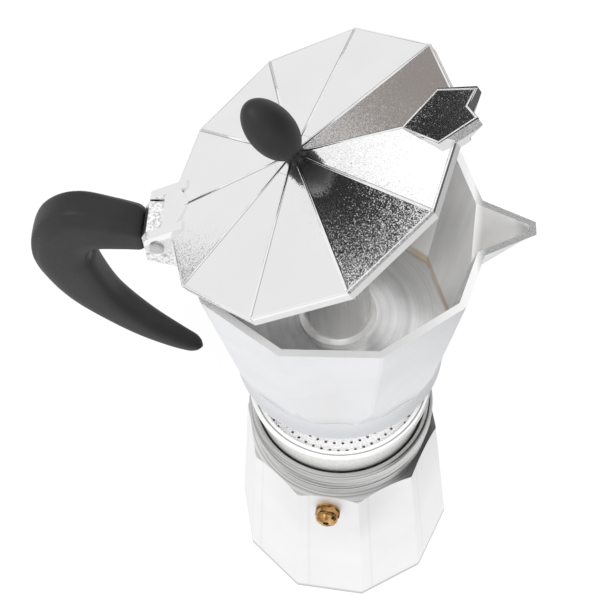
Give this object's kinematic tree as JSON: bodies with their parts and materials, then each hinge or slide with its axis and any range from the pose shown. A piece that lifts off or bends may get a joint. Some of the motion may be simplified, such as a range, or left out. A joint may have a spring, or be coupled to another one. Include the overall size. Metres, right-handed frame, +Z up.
{
  "type": "moka pot",
  "caption": "Stovetop moka pot taken apart: faceted boiler with safety valve, lifted funnel, raised pot with spout, hinged lid and horn handle.",
  "frame": {"origin": "centre of the boiler's flat underside", "axes": "+X towards the spout, handle at -X, +Z up along the pot's screw axis, hinge pin along Y"},
  "size_m": [0.1634, 0.0974, 0.2836],
  "materials": {
    "cast_aluminium": "satin cast",
    "polished_aluminium": "polished cast",
    "spun_aluminium": "bright spun",
    "valve_brass": "bright turned",
    "steel": "bright",
    "seal_rubber": "matt",
    "black_plastic": "matt"
  },
  "bodies": {
    "base": {"boiler": "cast_aluminium", "valve_body": "valve_brass", "valve_washer": "valve_brass", "valve_cap": "valve_brass", "valve_spring": "steel"},
    "valve": {"valve_poppet": "steel"},
    "funnel": {"funnel_basket": "spun_aluminium", "basket_plate": "spun_aluminium", "funnel_stem": "spun_aluminium"},
    "seal": {"gasket": "seal_rubber", "filter_plate": "spun_aluminium"},
    "pot": {"collector": "cast_aluminium", "column": "cast_aluminium", "hinge_pin": "steel", "handle": "black_plastic", "handle_screw": "steel"},
    "lid": {"lid": "polished_aluminium", "knob": "black_plastic", "knob_insert": "valve_brass", "knob_washer": "steel", "knob_screw": "steel"}
  },
  "joints": [
    {"name": "lift", "type": "slide", "parent": "base", "child": "seal", "axis": [0, 0, 1], "range_m": [-0.05225, 0.003]},
    {"name": "unscrew", "type": "hinge", "parent": "seal", "child": "pot", "pos_m": [0, 0, 0.2], "axis": [0, 0, 1], "range_deg": [-6270.3, 360]},
    {"name": "funnel_lift", "type": "slide", "parent": "base", "child": "funnel", "axis": [0, 0, 1], "range_m": [-0.0142, 0.00082]},
    {"name": "lid_hinge", "type": "hinge", "parent": "pot", "child": "lid", "pos_m": [-0.056, 0, 0.22465], "axis": [0, -1, 0], "range_deg": [-28.7, 66.3]},
    {"name": "valve_pop", "type": "slide", "parent": "base", "child": "valve", "axis": [-0.1092, -0.9895, 0.0941], "range_m": [0, 0.0012], "stiffness_N_per_m": 1500, "springref_m": -0.003, "deforming": ["valve_spring"]}
  ],
  "couplings": [
    {"joint": "lift", "follows": "unscrew", "m_per_rad": 0.00047746},
    {"joint": "funnel_lift", "follows": "unscrew", "m_per_rad": 0.00012974}
  ]
}
